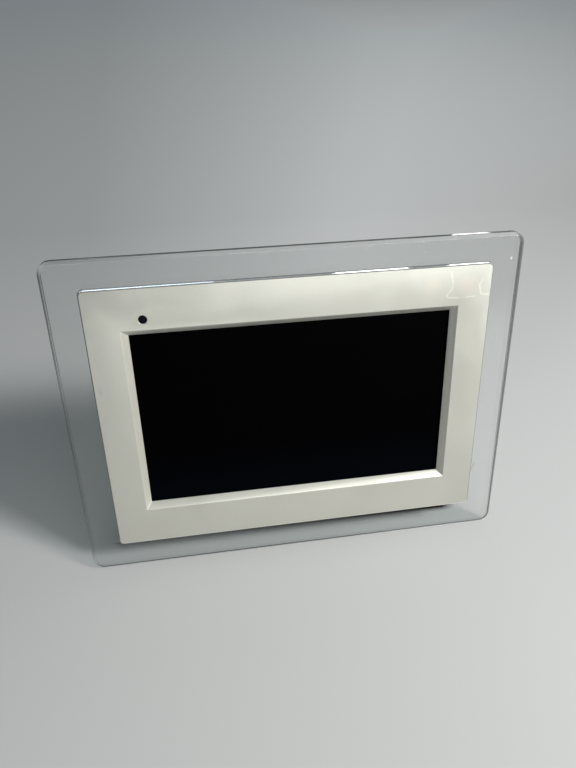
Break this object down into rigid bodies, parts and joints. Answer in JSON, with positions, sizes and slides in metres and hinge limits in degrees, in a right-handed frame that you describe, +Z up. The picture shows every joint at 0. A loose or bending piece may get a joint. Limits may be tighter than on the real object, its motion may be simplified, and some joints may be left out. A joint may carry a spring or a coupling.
{
  "type": "digital photo frame",
  "caption": "Free-standing digital photo frame: cream bezel over a clear acrylic plate, flat black display, rear electronics housing with keys and ports, and a folding leg.",
  "frame": {"origin": "on the table, at the middle of the standing frame's bounding box", "axes": "+Z up; +X to the viewer's right; the display faces -Y and leans back; the leg is at +Y"},
  "size_m": [0.223, 0.0886, 0.1622],
  "materials": {
    "clear_acrylic": "polished clear acrylic",
    "cream_plastic": "warm off-white pearl, satin",
    "ir_black": "dark infrared-passing plastic",
    "foam": "closed-cell foam strip",
    "tinplate": "thin tinned sheet steel",
    "display_black": "switched-off display behind a satin polariser",
    "white_film": "white moulded tray and diffusing sheets",
    "light_guide_clear": "clear moulded light guide",
    "led_yellow": "light-emitting diodes on a strip",
    "brass": "machined brass",
    "board_green": "green solder mask",
    "screw_steel": "plated steel",
    "chip_black": "moulded black plastic",
    "capacitor_aluminium": "drawn aluminium can",
    "connector_beige": "moulded connector body",
    "flex_amber": "amber flexible circuit",
    "socket_steel": "folded plated sheet",
    "speaker_grey": "pressed basket and coated cone",
    "wire_red": "wire insulation",
    "key_dark": "moulded grey keycap",
    "housing_white": "fine-textured off-white moulding",
    "label_paper": "blank coated label",
    "foot_rubber": "soft black rubber"
  },
  "bodies": {
    "frame_body": {"acrylic_plate": "clear_acrylic", "front_bezel": "cream_plastic", "ir_window": "ir_black", "display_seal": "foam", "display_tin_frame": "tinplate", "display_glass": "display_black", "optical_films": "white_film", "light_guide": "light_guide_clear", "led_strip": "led_yellow", "backlight_tray": "white_film", "chassis_plate": "tinplate", "board_standoffs": "brass", "main_board": "board_green", "board_screws": "screw_steel", "main_chips": "chip_black", "power_capacitors": "capacitor_aluminium", "display_connector": "connector_beige", "display_flex": "flex_amber", "ir_sensor": "ir_black", "ir_board": "board_green", "ir_flex": "flex_amber", "card_socket": "socket_steel", "usb_socket": "socket_steel", "small_usb_socket": "socket_steel", "power_inlet": "chip_black", "power_inlet_pin": "screw_steel", "left_speaker": "speaker_grey", "right_speaker": "speaker_grey", "speaker_wires": "wire_red", "key_board": "board_green", "key_board_screws": "screw_steel", "tact_switches": "chip_black", "key_flex": "flex_amber", "power_switch": "chip_black", "housing_foam": "foam", "rear_housing": "housing_white", "housing_screws": "screw_steel", "blank_label": "label_paper", "stand_bracket": "housing_white", "bracket_screws": "screw_steel", "hinge_pin": "screw_steel", "hinge_washers": "screw_steel"},
    "menu_button": {"menu_key": "key_dark"},
    "back_button": {"back_key": "key_dark"},
    "up_button": {"up_key": "key_dark"},
    "down_button": {"down_key": "key_dark"},
    "left_button": {"left_key": "key_dark"},
    "right_button": {"right_key": "key_dark"},
    "ok_button": {"ok_key": "key_dark"},
    "power_knob": {"power_slider": "key_dark"},
    "leg": {"stand_leg": "housing_white", "foot_pad": "foot_rubber"}
  },
  "joints": [
    {"name": "stand_fold", "type": "hinge", "parent": "frame_body", "child": "leg", "pos_m": [0, 0.00708, 0.07211], "axis": [1, 0, 0], "range_deg": [-41, 0]},
    {"name": "menu_press", "type": "slide", "parent": "frame_body", "child": "menu_button", "axis": [0, -0.9659, 0.2588], "range_m": [0, 0.0005], "stiffness_N_per_m": 2400},
    {"name": "back_press", "type": "slide", "parent": "frame_body", "child": "back_button", "axis": [0, -0.9659, 0.2588], "range_m": [0, 0.0005], "stiffness_N_per_m": 2400},
    {"name": "up_press", "type": "slide", "parent": "frame_body", "child": "up_button", "axis": [0, -0.9659, 0.2588], "range_m": [0, 0.0005], "stiffness_N_per_m": 2400},
    {"name": "down_press", "type": "slide", "parent": "frame_body", "child": "down_button", "axis": [0, -0.9659, 0.2588], "range_m": [0, 0.0005], "stiffness_N_per_m": 2400},
    {"name": "left_press", "type": "slide", "parent": "frame_body", "child": "left_button", "axis": [0, -0.9659, 0.2588], "range_m": [0, 0.0005], "stiffness_N_per_m": 2400},
    {"name": "right_press", "type": "slide", "parent": "frame_body", "child": "right_button", "axis": [0, -0.9659, 0.2588], "range_m": [0, 0.0005], "stiffness_N_per_m": 2400},
    {"name": "ok_press", "type": "slide", "parent": "frame_body", "child": "ok_button", "axis": [0, -0.9659, 0.2588], "range_m": [0, 0.0005], "stiffness_N_per_m": 2400},
    {"name": "power_slide", "type": "slide", "parent": "frame_body", "child": "power_knob", "axis": [0, 0.2588, 0.9659], "range_m": [0, 0.003]}
  ]
}
